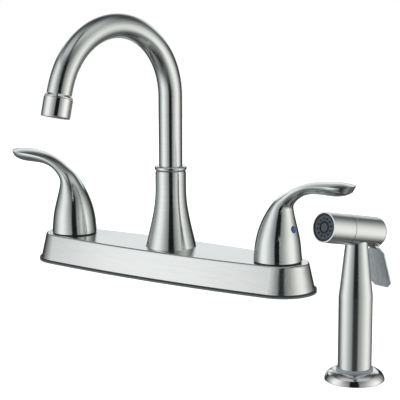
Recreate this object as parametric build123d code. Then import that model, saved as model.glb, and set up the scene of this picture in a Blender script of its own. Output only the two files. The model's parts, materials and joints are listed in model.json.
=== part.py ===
from build123d import *
from math import cos, pi, radians, sin, sqrt
import os

# Two-handle kitchen faucet on a long deck plate, with a side sprayer in its own holder.
# Millimetres, +Z up. The origin lies on the sink deck, under the middle of the plate.
# X runs along the plate from the hot side to the cold side, and +Y points to the wall.

# Sink deck and plate
hole_spacing = 203.2
deck_thickness = 18.0
gasket_thickness = 2.5
gasket_overhang = 1.5
plate_height = 21.0
plate_wall = 2.0
foot_end_margin = 29.6
foot_half_width = 30.6
foot_side_radius = 1100.0
top_end_margin = 24.9
top_half_width = 27.2
top_side_radius = 867.0
plate_edge_radius = 1.7

# Clearances
slip = 0.05
thread_gap = 0.05
hole_gap = 0.5
gasket_hole_gap = 1.5
loose_gap = 0.3

# Brass bodies under the plate
chamber_radius = 15.5
chamber_floor = 4.0
neck_radius = 11.5
valve_neck_rise = 7.5
shank_radius = 10.3
shank_length = 45.0
inlet_bore = 7.5
seat_hole = 3.5
seat_floor = 3.5
plate_nut_radius = 16.6
plate_nut_height = 3.5
spanner_slot_width = 3.5
washer_radius = 19.0
washer_thickness = 2.0
shank_nut_across = 34.0
shank_nut_height = 10.0
nut_bevel = 0.08
relief_width = 1.0
relief_depth = 0.6

# Cartridges
cartridge_radius = 9.0
cartridge_depth = 12.0
cartridge_wall = 1.8
cartridge_flange_radius = 11.3
cartridge_flange = 1.5
cartridge_boss_radius = 6.9
cartridge_boss = 5.0
cartridge_ceiling = 1.5
seal_radius = 6.0
seal_height = 3.0
disc_radius = 7.0
fixed_disc_height = 2.5
moving_disc_height = 2.5
stem_disc_height = 2.0
stem_radius = 4.0
stem_rise = 30.0
bonnet_across = 26.5
bonnet_start = 4.2
bonnet_lip = 1.8

# Handles
hub_radius = 18.93
hub_gap = 1.0
hub_wall = 1.5
hub_wall_height = 3.3
nut_room_radius = 15.6
nut_room_height = 11.3
boss_room_radius = 7.5
boss_room_height = 15.0
socket_height = 31.0
hub_ring_height = 0.7
hub_ring_width = 1.4
hub_ring_inset = 0.6
hot_swing = 175.5
cold_swing = -6.2
lever_reach = 66.8
lever_end_radius = 11.6
lever_end_lean = 33.0
index_height = 25.5
index_radius = 2.7
index_depth = 3.0
index_surface = 15.45
index_dome_radius = 10.8
set_screw_radius = 2.0
set_screw_depth = 1.0
set_screw_key = 1.2
set_screw_key_depth = 2.0

# Lever stations above the hub's foot: outward, up, half depth, half width,
# and the share of the depth that the crowned side takes.
foot_station = (0.0, 0.0, hub_radius, hub_radius, 1.0)
shoulder_station = (0.2, 15.2, 17.15, 17.6, 1.0)
breast_station = (1.4, 28.8, 13.7, 13.9, 1.0)
waist_station = (4.7, 41.4, 8.7, 9.7, 0.85)
neck_station = (11.8, 49.8, 5.1, 7.4, 0.65)
palm_station = (29.5, 58.6, 4.3, 7.5, 0.5)
paddle_station = (54.2, 60.85, 5.3, 11.4, 0.45)
tip_station = (66.3, 62.2, 3.3, 8.2, 0.45)
lowest_crown = 0.45
sections_per_station = 3
sections_past_tip = 2
edge_steps = 8

# Spout post, bell and collar
post_radius = 13.0
post_neck_rise = 14.5
post_bore = 9.55
post_chamber_radius = 8.6
post_floor = 5.0
spout_seat_rise = 1.0
bell_foot_radius = 20.46
bell_waist_radius = 16.8
bell_waist_height = 15.7
bell_throat_radius = 13.8
bell_throat_height = 30.5
bell_neck_radius = 12.35
bell_neck_height = 49.0
bell_height = 61.0
bell_foot_slope = 0.22
bell_wall = 1.6
bell_web_low = 3.0
bell_web_high = 8.0
bushing_height = 13.0
collar_height = 5.0
collar_radius = 13.0
collar_groove_radius = 12.0
collar_groove_height = 1.0
clip_height = 1.2
clip_width = 1.6
clip_opening = 5.0
clip_seat_depth = 0.5

# Spout
tube_radius = 9.45
tube_wall = 1.2
tube_start = 14.0
tube_straight_top = 145.3
spout_swing = -99.0
crook_radius = 58.25
crook_turn = 158.3
drop_radius = 86.0
drop_turn = 8.0
spout_foot_gap = 0.3
spout_spigot = 8.0
spout_stem_bore = 6.0
o_ring_section = 0.8
o_ring_spacing = 5.0

# Aerator
end_ring_length = 2.4
end_ring_flare = 10.6
end_ring_edge = 0.6
end_thread_radius = 9.6
end_thread_length = 8.0
end_spigot_radius = 8.0
end_spigot_length = 5.0
end_bore = 6.6
housing_radius = 10.9
housing_length = 15.0
housing_lip = 1.5
housing_edge = 0.5
housing_opening = 8.3
insert_radius = 8.9
aerator_washer_bore = 6.6
aerator_washer_height = 1.0
flow_cell = 1.25
flow_cell_pitch = 3.2
flow_rows = 5

# Tubes between the bodies, diverter and spray outlet
tube_height = 12.5
cross_tube_radius = 5.0
cross_tube_wall = 1.0
cross_socket_depth = 4.0
post_socket_depth = 3.0
port_radius = 3.5
outlet_radius = 6.5
outlet_bore = 3.5
outlet_tail = 28.0
outlet_collar_radius = 8.5
outlet_collar_height = 1.2
outlet_thread = 12.0
diverter_radius = 8.5
diverter_height = 10.0
diverter_waist_radius = 6.6
diverter_land = 1.5
diverter_room_radius = 5.0
diverter_lip_radius = 2.6
diverter_port_radius = 1.6
diverter_port_rise = 1.0
diverter_ports = 4
poppet_height = 1.5
poppet_gap = 0.2
poppet_stem_radius = 1.5
poppet_stem_top = 21.5

# Sprayer's holder
sprayer_x = 262.2
sprayer_y = -170.0
flange_radius = 18.5
flange_rim = 0.6
flange_top = 6.5
flange_shoulder_radius = 11.8
flange_crown = 1.7
flange_edge = 0.3
holder_gasket_radius = 17.6
holder_gasket_height = 1.0
holder_recess = 0.8
holder_shank_radius = 13.5
holder_shank_length = 45.0
holder_bore = 11.0
guide_lip_radius = 11.4
guide_lip_top = 7.8
guide_floor = 6.6
guide_bore = 9.0
guide_skirt = 20.0
holder_washer_radius = 20.0
holder_nut_across = 36.0

# Sprayer's grip
grip_radius = 10.4
grip_low = 6.9
grip_foot_round = 1.0
grip_shoulder = 53.3
grip_neck_radius = 6.95
grip_neck_drop = 8.9
grip_water_radius = 3.0
grip_spigot_radius = 4.6
grip_spigot_drop = 7.0
tail_radius = 6.3
tail_bore = 4.0
tail_socket = 10.0
tail_collar_radius = 8.0
tail_collar_height = 3.5
tail_low = -8.0
hose_thread_radius = 4.5
hose_thread_depth = 7.8
inlet_washer_height = 1.2
inlet_washer_radius = 4.9

# Sprayer's head, along its own axis from the grip's axis, forwards positive
head_swing = 255.0
head_tilt = 11.0
head_height = 93.4
head_radius = 9.24
head_wall = 1.64
head_back = 18.4
head_back_wall = 1.2
head_back_round = 2.5
head_seam = 10.0
head_front = 28.9
seam_groove = 0.4
sleeve_spigot_radius = 7.9
sleeve_spigot_length = 6.0
sleeve_spigot_wall = 1.3
sleeve_wall = 1.2
face_recess = 0.5
face_thickness = 2.4
face_rim = 0.75
face_step = 0.35
face_step_depth = 0.8
face_groove_radius = 3.4
face_groove_width = 0.5
face_groove_depth = 0.6
nozzle_count = 12
nozzle_circle = 5.3
nozzle_radius = 0.45
face_seal_height = 1.2
face_seal_width = 1.6

# Sprayer's valve
seat_front = 5.0
seat_back = 2.2
valve_hole = 3.2
valve_disc_radius = 4.6
valve_disc_height = 2.5
valve_gap = 0.3
valve_stem_radius = 1.2
stem_collar_radius = 3.0
stem_collar_front = 13.6
stem_collar_height = 0.8
stem_guide_front = 7.9
stem_guide_height = 1.5
spring_radius = 3.6
spring_wire = 1.2

# Thumb lever
pivot_back = 15.9
pivot_drop = 7.3
pin_radius = 1.0
pin_half_length = 5.4
eye_radius = 1.9
eye_half_width = 3.9
slot_half_width = 4.1
slot_front = 13.6
slot_ceiling = 5.3
paddle_tilt = 15.0
paddle_back = 16.2
paddle_drop = 12.8
paddle_length = 26.0
paddle_thickness = 1.0
paddle_top_half_width = 7.2
paddle_low_half_width = 8.8
paddle_corner = 3.5
neck_half_width = 3.2
neck_thickness = 1.6
fork_inner = 1.6
fork_outer = 2.6
fork_back = 12.5
fork_tip_rise = 0.6
fork_elbow_drop = 4.0
fork_thickness = 1.6

# Heights and places that follow
plate_low = gasket_thickness
plate_top = gasket_thickness + plate_height
plate_under = plate_top - plate_wall
hub_x = hole_spacing / 2
foot_half_length = hub_x + foot_end_margin
top_half_length = hub_x + top_end_margin
hub_foot = plate_top + hub_gap
valve_neck_top = plate_top + valve_neck_rise
cartridge_low = plate_top - cartridge_depth
cartridge_top = valve_neck_top + cartridge_flange
cartridge_room = cartridge_radius - cartridge_wall
seal_top = cartridge_low + seal_height
fixed_disc_top = seal_top + fixed_disc_height
moving_disc_top = fixed_disc_top + moving_disc_height
stem_disc_top = moving_disc_top + stem_disc_height
stem_top = plate_top + stem_rise
post_neck_top = plate_top + post_neck_rise
spout_seat = plate_top + spout_seat_rise
spout_foot = spout_seat + spout_foot_gap
tube_low = plate_top + tube_start
bell_top = plate_top + bell_height
collar_top = bell_top + collar_height
bushing_low = bell_top - bushing_height
clip_top = bushing_low - loose_gap
tube_bore = tube_radius - tube_wall
head_bore = head_radius - head_wall
diverter_floor = chamber_floor + post_floor
diverter_top = diverter_floor + diverter_height
poppet_low = diverter_floor + diverter_land + poppet_gap
outer_fit = tube_radius + slip
nut_top = -deck_thickness - washer_thickness
nut_foot = nut_top - shank_nut_height
washer_seat = tail_low + hose_thread_depth
grip_neck_top = head_height - grip_neck_drop
grip_spigot_top = head_height - grip_spigot_drop
paddle_top = head_height - paddle_drop


def rod(radius, low, high):
    """Upright cylinder between two heights."""
    return Pos(0, 0, low) * Cylinder(radius, high - low, align=(Align.CENTER, Align.CENTER, Align.MIN))


def ring(outer, bore, low, high):
    """Upright tube between two heights."""
    return rod(outer, low, high) - rod(bore, low, high)


def turned(*points):
    """Body turned about Z from a closed outline of radius and height."""
    return revolve(Plane.XZ * make_face(Polyline(*points, close=True)), Axis.Z)


def lying_rod(radius, start, end, height):
    """Cylinder along X between two places, at one height."""
    body = Cylinder(radius, end - start, align=(Align.CENTER, Align.CENTER, Align.MIN))
    return Pos(start, 0, height) * Rot(0, 90, 0) * body


def hex_nut(across, bore, low, high):
    """Hexagon nut, its size across the flats; the bevel is a share of that size."""
    block = Pos(0, 0, low) * extrude(RegularPolygon(across / 2, 6, major_radius=False), high - low)
    bevel = nut_bevel * across
    cone = turned(
        (0, low),
        (across / 2, low),
        (across / 2 + bevel, low + bevel),
        (across / 2 + bevel, high - bevel),
        (across / 2, high),
        (0, high),
    )
    return (block & cone) - rod(bore, low, high)


def relief(radius, high):
    """Shallow groove that parts two threads of a shank, below a height."""
    return ring(2 * radius, radius - relief_depth, high - relief_width, high)


def at_hubs(body):
    """The same body on the hot side and on the cold side, as separate solids."""
    return Pos(-hub_x, 0, 0) * body + Pos(hub_x, 0, 0) * body


# Plate


def oval(half_length, half_width, side_radius, height):
    """Level oval of two long arcs and two end arcs that meet without a corner."""
    end_radius = (2 * side_radius * half_width - half_length**2 - half_width**2) / (2 * (side_radius - half_length))
    reach = half_length - end_radius
    drop = side_radius - half_width
    joint_x = side_radius * reach / (side_radius - end_radius)
    joint_y = side_radius * drop / (side_radius - end_radius) - drop
    back = ThreePointArc((-joint_x, joint_y), (0, half_width), (joint_x, joint_y))
    right = ThreePointArc((joint_x, joint_y), (half_length, 0), (joint_x, -joint_y))
    front = ThreePointArc((joint_x, -joint_y), (0, -half_width), (-joint_x, -joint_y))
    left = ThreePointArc((-joint_x, -joint_y), (-half_length, 0), (-joint_x, joint_y))
    return Pos(0, 0, height) * make_face([back, right, front, left])


def plate_block(inset, high):
    """Drafted block from the plate's foot, its walls moved inwards by the inset."""
    foot = oval(foot_half_length - inset, foot_half_width - inset, foot_side_radius - inset, plate_low)
    top = oval(top_half_length - inset, top_half_width - inset, top_side_radius - inset, high)
    return loft([foot, top], ruled=True)


def deck_plate():
    outer = plate_block(0, plate_top)
    outer = fillet(outer.edges().group_by(Axis.Z)[-1], plate_edge_radius)
    plate = outer - plate_block(plate_wall, plate_under)
    for x in (-hub_x, 0, hub_x):
        plate -= Pos(x, 0, 0) * rod(neck_radius + hole_gap, plate_low, plate_top)
    return plate


def base_gasket():
    edge = oval(
        foot_half_length + gasket_overhang,
        foot_half_width + gasket_overhang,
        foot_side_radius + gasket_overhang,
        0,
    )
    pad = extrude(edge, gasket_thickness)
    for x in (-hub_x, 0, hub_x):
        pad -= Pos(x, 0, 0) * rod(shank_radius + gasket_hole_gap, 0, gasket_thickness)
    return pad


def hub_rings():
    outer = hub_radius - hub_ring_inset
    return at_hubs(ring(outer, outer - hub_ring_width, plate_top, plate_top + hub_ring_height))


# Brass bodies


def valve_body(side):
    """Body with its inlet shank below and its outlet towards the post."""
    body = rod(chamber_radius, chamber_floor, plate_under)
    body += rod(neck_radius, plate_under, valve_neck_top)
    body += rod(shank_radius, -shank_length, chamber_floor)
    body -= relief(shank_radius, nut_foot)
    body -= rod(cartridge_radius + slip, cartridge_low, valve_neck_top)
    body -= rod(inlet_bore, -shank_length, cartridge_low - seat_floor)
    body -= rod(seat_hole, cartridge_low - seat_floor, cartridge_low)
    socket = lying_rod(
        cross_tube_radius + slip,
        chamber_radius - cross_socket_depth,
        chamber_radius,
        tube_height,
    )
    port = lying_rod(port_radius, 0, chamber_radius, tube_height)
    turn = 0 if side < 0 else 180
    return Pos(side * hub_x, 0, 0) * Rot(0, 0, turn) * (body - socket - port)


def centre_post():
    """Post that carries the spout, with the diverter's chamber in its foot."""
    body = rod(post_radius, chamber_floor, plate_under)
    body += rod(neck_radius, plate_under, post_neck_top)
    body -= rod(post_bore, spout_seat, post_neck_top)
    body -= rod(post_chamber_radius, diverter_floor, spout_seat)
    body -= rod(outlet_radius + thread_gap, chamber_floor, diverter_floor)
    for side in (-1, 1):
        turn = 0 if side > 0 else 180
        socket = lying_rod(
            cross_tube_radius + slip,
            post_radius - post_socket_depth,
            post_radius,
            tube_height,
        )
        port = lying_rod(port_radius, 0, post_radius, tube_height)
        body -= Rot(0, 0, turn) * (socket + port)
    return body


def cross_tubes():
    """Copper tubes that run from each valve body's socket to the post's."""
    start = post_radius - post_socket_depth + loose_gap
    end = hub_x - chamber_radius + cross_socket_depth - loose_gap
    tube = lying_rod(cross_tube_radius, start, end, tube_height)
    tube -= lying_rod(cross_tube_radius - cross_tube_wall, start, end, tube_height)
    return tube + Rot(0, 0, 180) * tube


def plate_nuts():
    """Flat ring nuts with two spanner slots each."""
    nut = ring(plate_nut_radius, neck_radius + thread_gap, plate_top, plate_top + plate_nut_height)
    slots = Pos(0, 0, plate_top + plate_nut_height) * Box(
        3 * plate_nut_radius,
        spanner_slot_width,
        plate_nut_height,
    )
    keep = rod((plate_nut_radius + neck_radius) / 2, plate_top, plate_top + 2 * plate_nut_height)
    return at_hubs(nut - (slots - keep))


def shank_washers():
    return at_hubs(ring(washer_radius, shank_radius + hole_gap, nut_top, -deck_thickness))


def shank_nuts():
    return at_hubs(hex_nut(shank_nut_across, shank_radius + thread_gap, nut_foot, nut_top))


# Cartridges


def cartridge():
    body = rod(cartridge_radius, cartridge_low, valve_neck_top)
    body += rod(cartridge_flange_radius, valve_neck_top, cartridge_top)
    body += rod(cartridge_boss_radius, cartridge_top, cartridge_top + cartridge_boss)
    body -= rod(seal_radius + slip, cartridge_low, seal_top)
    body -= rod(cartridge_room, seal_top, plate_top - cartridge_ceiling)
    body -= rod(stem_radius + slip, plate_top - cartridge_ceiling, cartridge_top + cartridge_boss)
    window_height = (fixed_disc_top + moving_disc_top) / 2
    window = lying_rod(moving_disc_height / 2, 0, cartridge_radius, window_height)
    return body - window


def cartridge_at(side):
    turn = 0 if side < 0 else 180
    return Pos(side * hub_x, 0, 0) * Rot(0, 0, turn) * cartridge()


def bonnet_nuts():
    """Hexagon nuts whose lips hold the cartridges' flanges."""
    low = plate_top + bonnet_start
    nut = hex_nut(bonnet_across, cartridge_boss_radius + loose_gap, low, cartridge_top + bonnet_lip)
    nut -= rod(neck_radius + thread_gap, low, cartridge_top + slip)
    return at_hubs(nut)


def seat_seals():
    return at_hubs(ring(seal_radius, seat_hole, cartridge_low, seal_top))


def fixed_discs():
    """Lower ceramic discs, each with two round ports."""
    disc = rod(disc_radius, seal_top, fixed_disc_top)
    for y in (-1, 1):
        disc -= Pos(0, y * disc_radius / 2, 0) * rod(disc_radius / 4, seal_top, fixed_disc_top)
    return at_hubs(disc)


def moving_disc(side):
    """Upper ceramic disc with a half-round channel in its lower face."""
    disc = rod(disc_radius, fixed_disc_top, moving_disc_top)
    channel = Pos(disc_radius / 2, 0, fixed_disc_top) * Box(disc_radius, disc_radius, moving_disc_height)
    return Pos(side * hub_x, 0, 0) * (disc - channel)


def valve_stem_piece(side):
    """Stem whose foot turns the upper disc and whose head carries the handle."""
    stem = rod(disc_radius, moving_disc_top, stem_disc_top)
    stem += rod(stem_radius, stem_disc_top, stem_top)
    return Pos(side * hub_x, 0, 0) * stem


# Handles


def smooth_slopes(values, start_slope=None):
    """Slopes at evenly numbered values of the smoothest curve through them."""
    last = len(values) - 1
    lead = [0.5 if start_slope is None else 0.0]
    slope = [1.5 * (values[1] - values[0]) if start_slope is None else start_slope]
    for index in range(1, last + 1):
        weight = 4 if index < last else 2
        rise = values[min(index + 1, last)] - values[index - 1]
        pivot = weight - lead[-1]
        lead.append(1 / pivot)
        slope.append((3 * rise - slope[-1]) / pivot)
    for index in range(last - 1, -1, -1):
        slope[index] -= lead[index] * slope[index + 1]
    return slope


def smooth_value(values, slopes, place):
    """Height and slope of the curve at a place counted in stations, straight past the last."""
    last = len(values) - 1
    if place >= last:
        return values[last] + slopes[last] * (place - last), slopes[last]
    index = int(place)
    part = place - index
    rise = values[index + 1] - values[index]
    bend = slopes[index] + slopes[index + 1] - 2 * rise
    pull = 3 * rise - 2 * slopes[index] - slopes[index + 1]
    height = values[index] + part * (slopes[index] + part * (pull + part * bend))
    return height, slopes[index] + part * (2 * pull + 3 * part * bend)


def half_edge(half_width, base, rise, fullness):
    """Half of a lever section: an ellipse when full, sinking to a low crown."""
    points = []
    for step in range(edge_steps + 1):
        turn = pi * step / edge_steps
        lift = fullness * sin(turn) + (1 - fullness) * sin(turn) ** 2
        points.append((half_width * cos(turn), base + rise * lift))
    return Spline(*points)


def lever_section(half_depth, half_width, crown):
    """Section of the lever square to its centre line, crowned side towards the back."""
    fullness = (crown - lowest_crown) / (1 - lowest_crown)
    rise = crown * half_depth
    base = half_depth - rise
    crowned = half_edge(half_width, base, rise, fullness)
    round_side = half_edge(half_width, base, -(2 * half_depth - rise), 1)
    return make_face([crowned, round_side])


def lever_form():
    """Bell-shaped hub that sweeps outwards along +X into a paddle with a round, leaning end."""
    stations = [
        foot_station,
        shoulder_station,
        breast_station,
        waist_station,
        neck_station,
        palm_station,
        paddle_station,
        tip_station,
    ]
    columns = list(zip(*stations))
    slopes = [smooth_slopes(column) for column in columns]
    slopes[0] = smooth_slopes(columns[0], start_slope=0.0)
    sections = []
    for step in range((len(stations) - 1) * sections_per_station + sections_past_tip + 1):
        place = step / sections_per_station
        size = [smooth_value(column, slope, place) for column, slope in zip(columns, slopes)]
        (out, out_slope), (up, up_slope), (half_depth, _), (half_width, _), (crown, _) = size
        face = lever_section(half_depth, half_width, min(1.0, max(lowest_crown, crown)))
        sections.append(Plane(origin=(out, 0, up), x_dir=(0, 1, 0), z_dir=(out_slope, 0, up_slope)) * face)
    form = loft(sections)
    tip_height = tip_station[1]
    beyond = Box(
        2 * lever_end_radius,
        3 * lever_end_radius,
        tip_height,
        align=(Align.MIN, Align.CENTER, Align.CENTER),
    )
    end = beyond - rod(lever_end_radius, -tip_height, tip_height)
    return form - Pos(lever_reach - lever_end_radius, 0, tip_height) * Rot(0, lever_end_lean, 0) * end


def handle_place(side):
    """Place of a handle drawn with its lever along +X and its hub's foot at zero."""
    swing = hot_swing if side < 0 else cold_swing
    return Pos(side * hub_x, 0, hub_foot) * Rot(0, 0, swing)


def handle(side):
    body = lever_form()
    body -= rod(hub_radius - hub_wall, 0, hub_wall_height)
    body -= rod(nut_room_radius, 0, nut_room_height)
    body -= rod(boss_room_radius, 0, boss_room_height)
    body -= rod(stem_radius + slip, 0, socket_height)
    body -= lying_rod(index_radius + slip, index_surface - index_depth, hub_radius, index_height)
    body -= lying_rod(set_screw_radius + thread_gap, 0, hub_radius, index_height)
    return handle_place(side) * body


def index_button(side):
    """Coloured button with a lightly domed face, pressed in over the set screw."""
    start = index_surface - index_depth
    shaft = lying_rod(index_radius, start, index_surface, index_height)
    dome = Pos(index_surface - index_dome_radius, 0, index_height) * Sphere(index_dome_radius)
    return handle_place(side) * (shaft & dome)


def set_screw(side):
    start = stem_radius + loose_gap
    end = index_surface - index_depth - set_screw_depth
    screw = lying_rod(set_screw_radius, start, end, index_height)
    key = extrude(RegularPolygon(set_screw_key, 6), set_screw_key_depth)
    return handle_place(side) * (screw - Pos(end - set_screw_key_depth, 0, index_height) * Rot(0, 90, 0) * key)


# Spout bell, collar and bearing


def spout_bell():
    """Waisted bell with a web that seats on the post's neck."""
    outer = Spline(
        (bell_foot_radius, 0),
        (bell_waist_radius, bell_waist_height),
        (bell_throat_radius, bell_throat_height),
        (bell_neck_radius, bell_neck_height),
        tangents=((-bell_foot_slope, 1), (0, 1)),
    )
    neck = Polyline(
        (bell_neck_radius, bell_neck_height),
        (bell_neck_radius, bell_height),
        (bell_neck_radius - bell_wall, bell_height),
        (bell_neck_radius - bell_wall, bell_neck_height),
    )
    inner = Spline(
        (bell_neck_radius - bell_wall, bell_neck_height),
        (bell_throat_radius - bell_wall, bell_throat_height),
        (bell_waist_radius - bell_wall, bell_waist_height),
        (bell_foot_radius - bell_wall, 0),
        tangents=((0, -1), (bell_foot_slope, -1)),
    )
    foot = Line((bell_foot_radius - bell_wall, 0), (bell_foot_radius, 0))
    outline = make_face([outer, *neck.edges(), inner, foot])
    shell = revolve(Plane.XZ * outline, Axis.Z)
    middle = (bell_web_low + bell_web_high) / 2
    drop = (bell_foot_radius - bell_waist_radius) / bell_waist_height
    web_radius = bell_foot_radius - bell_wall / 2 - drop * middle
    web = ring(web_radius, neck_radius + slip, bell_web_low, bell_web_high)
    return Pos(0, 0, plate_top) * (shell + web)


def spout_bushing():
    return ring(bell_neck_radius - bell_wall - slip, outer_fit, bushing_low, bell_top)


def spout_collar():
    """Bead over a narrow groove, on top of the bell."""
    low = bell_top + collar_groove_height
    bead_radius = (collar_top - low) / 2
    inner = tube_radius + 2 * slip
    edge = collar_radius - bead_radius
    lines = Polyline((edge, collar_top), (inner, collar_top), (inner, bell_top), (collar_groove_radius, bell_top))
    wall = Polyline((collar_groove_radius, bell_top), (collar_groove_radius, low), (edge, low))
    bead = ThreePointArc((edge, low), (collar_radius, low + bead_radius), (edge, collar_top))
    outline = make_face([*lines.edges(), *wall.edges(), bead])
    return revolve(Plane.XZ * outline, Axis.Z)


def spout_clip():
    """Split ring in the tube's groove, under the bushing."""
    inner = tube_radius - clip_seat_depth + slip
    clip = ring(inner + clip_width, inner, clip_top - clip_height, clip_top)
    gap = Box(2 * clip_opening, clip_opening, 2 * clip_height)
    return clip - Pos(inner, 0, clip_top - clip_height / 2) * gap


# Spout


def spout_path():
    """Centre line of the tube: a straight rise, a crook and a gentle drop."""
    rise = Line((0, tube_low), (0, tube_straight_top))
    crook = JernArc(start=rise @ 1, tangent=rise % 1, radius=crook_radius, arc_size=-crook_turn)
    drop = JernArc(start=crook @ 1, tangent=crook % 1, radius=drop_radius, arc_size=-drop_turn)
    return spout_plane() * (rise + crook + drop)


def spout_plane():
    """Upright plane through the post's axis that holds the spout's centre line."""
    swing = radians(spout_swing)
    return Plane(origin=(0, 0, 0), x_dir=(cos(swing), sin(swing), 0), z_dir=(sin(swing), -cos(swing), 0))


def spout_tube():
    path = spout_path()
    start = Plane(origin=(0, 0, tube_low), z_dir=(0, 0, 1))
    outer = sweep(start * Circle(tube_radius), path=path)
    inner = sweep(start * Circle(tube_bore), path=path)
    groove = ring(
        2 * tube_radius,
        tube_radius - clip_seat_depth,
        clip_top - clip_height - slip,
        clip_top + slip,
    )
    return outer - inner - groove


def spout_stem():
    """Machined foot of the spout with two seal grooves and a spigot in the tube."""
    stem = rod(tube_radius, spout_foot, tube_low)
    stem += rod(tube_bore - slip, tube_low, tube_low + spout_spigot)
    stem -= rod(spout_stem_bore, spout_foot, tube_low + spout_spigot)
    for height in seal_heights():
        width = 2 * o_ring_section + 2 * slip
        stem -= ring(2 * tube_radius, groove_radius(), height - width / 2, height + width / 2)
    return stem


def groove_radius():
    return post_bore - 2 * o_ring_section - slip


def seal_heights():
    middle = (spout_foot + tube_low) / 2
    return (middle - o_ring_spacing / 2, middle + o_ring_spacing / 2)


def stem_o_rings():
    """Two seals, each just inside the post's bore."""
    major = groove_radius() + o_ring_section + slip / 2
    low, high = seal_heights()
    seal = Torus(major, o_ring_section)
    return Pos(0, 0, low) * seal + Pos(0, 0, high) * seal


def outlet_plane():
    """Plane across the tube's end, its normal along the water's way."""
    path = spout_path()
    return Plane(origin=path @ 1, z_dir=path % 1)


def spout_end_ring():
    """Flared ring with a thread for the aerator and a spigot in the tube."""
    body = turned(
        (0, 0),
        (tube_radius, 0),
        (end_ring_flare, end_ring_length - end_ring_edge),
        (end_ring_flare, end_ring_length),
        (0, end_ring_length),
    )
    body += rod(end_thread_radius, end_ring_length, end_ring_length + end_thread_length)
    body += rod(end_spigot_radius, -end_spigot_length, 0)
    body -= rod(end_bore, -end_spigot_length, end_ring_length + end_thread_length)
    return outlet_plane() * body


def aerator_housing():
    low = end_ring_length
    high = end_ring_length + housing_length
    shell = turned(
        (0, low),
        (housing_radius - housing_edge, low),
        (housing_radius, low + housing_edge),
        (housing_radius, high - 2 * housing_edge),
        (housing_radius - housing_edge, high),
        (0, high),
    )
    shell -= rod(end_thread_radius + thread_gap, low, low + end_thread_length)
    shell -= rod(insert_radius + slip, low, high - housing_lip)
    shell -= rod(housing_opening, low, high)
    return outlet_plane() * shell


def aerator_washer():
    low = end_ring_length + end_thread_length
    return outlet_plane() * ring(insert_radius, aerator_washer_bore, low, low + aerator_washer_height)


def aerator_insert():
    """Flow straightener with a six-sided field of six-sided cells."""
    low = end_ring_length + end_thread_length + aerator_washer_height
    high = end_ring_length + housing_length - housing_lip
    body = rod(insert_radius, low, high)
    cell = extrude(RegularPolygon(flow_cell, 6), high - low)
    for row in range(-(flow_rows // 2), flow_rows // 2 + 1):
        count = flow_rows - abs(row)
        for column in range(count):
            x = (column - (count - 1) / 2) * flow_cell_pitch
            y = row * flow_cell_pitch * sin(pi / 3)
            body -= Pos(x, y, low) * cell
    return outlet_plane() * body


# Diverter and spray outlet


def diverter_body():
    """Waisted cage for the poppet, with ports round its waist."""
    body = rod(diverter_radius, diverter_floor, diverter_top)
    waist_low = diverter_floor + diverter_land
    waist_high = diverter_top - diverter_land
    body -= ring(2 * diverter_radius, diverter_waist_radius, waist_low, waist_high)
    body -= rod(diverter_room_radius, waist_low, waist_high)
    body -= rod(diverter_lip_radius, waist_high, diverter_top)
    body -= rod(outlet_bore, diverter_floor, waist_low)
    port = lying_rod(diverter_port_radius, 0, diverter_radius, tube_height + diverter_port_rise)
    for index in range(diverter_ports):
        body -= Rot(0, 0, (index + 0.5) * 360 / diverter_ports) * port
    return body


def diverter_poppet():
    body = rod(diverter_room_radius - loose_gap, poppet_low, poppet_low + poppet_height)
    return body + rod(poppet_stem_radius, poppet_low + poppet_height, poppet_stem_top)


def diverter_spring():
    """Plain sleeve in the room of the poppet's coil spring."""
    low = poppet_low + poppet_height + slip
    high = diverter_top - diverter_land - slip
    return ring(diverter_room_radius - 2 * loose_gap, poppet_stem_radius + 2 * loose_gap, low, high)


def spray_outlet():
    """Threaded nipple for the sprayer's hose, screwed into the post's floor."""
    collar_low = chamber_floor - outlet_collar_height
    nipple = rod(outlet_radius, -outlet_tail, diverter_floor)
    nipple += rod(outlet_collar_radius, collar_low, chamber_floor)
    nipple -= relief(outlet_radius, outlet_thread - outlet_tail + relief_width)
    return nipple - rod(outlet_bore, -outlet_tail, diverter_floor)


# Sprayer's holder

holder_place = Pos(sprayer_x, sprayer_y, 0)


def holder_flange():
    """Domed flange on its threaded shank, bored for the guide ring."""
    low = holder_gasket_height - holder_recess
    rim_top = low + flange_rim
    run = flange_radius - flange_shoulder_radius
    rise = flange_top - rim_top
    lift = flange_crown / sqrt(run**2 + rise**2)
    dome = ThreePointArc(
        (flange_radius, rim_top),
        (flange_radius - run / 2 + rise * lift, rim_top + rise / 2 + run * lift),
        (flange_shoulder_radius, flange_top),
    )
    lines = Polyline(
        (flange_shoulder_radius, flange_top),
        (0, flange_top),
        (0, low),
        (flange_radius - flange_edge, low),
        (flange_radius, low + flange_edge),
        (flange_radius, rim_top),
    )
    body = revolve(Plane.XZ * make_face([dome, *lines.edges()]), Axis.Z)
    body -= rod(holder_gasket_radius + slip, low, holder_gasket_height)
    body += rod(holder_shank_radius, -holder_shank_length, rim_top)
    body -= relief(holder_shank_radius, nut_foot)
    return holder_place * (body - rod(holder_bore, -holder_shank_length, flange_top))


def holder_gasket():
    return holder_place * ring(holder_gasket_radius, holder_shank_radius + hole_gap, 0, holder_gasket_height)


def holder_ring():
    """Guide ring with a raised lip round the grip's foot."""
    body = ring(guide_lip_radius, guide_bore, flange_top, guide_lip_top)
    body += ring(holder_bore - 2 * slip, guide_bore, flange_top - guide_skirt, flange_top)
    return holder_place * (body - rod(grip_radius + loose_gap, guide_floor, guide_lip_top))


def holder_washer():
    return holder_place * ring(holder_washer_radius, holder_shank_radius + hole_gap, nut_top, -deck_thickness)


def holder_nut():
    return holder_place * hex_nut(holder_nut_across, holder_shank_radius + thread_gap, nut_foot, nut_top)


# Sprayer's grip and tail


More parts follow.
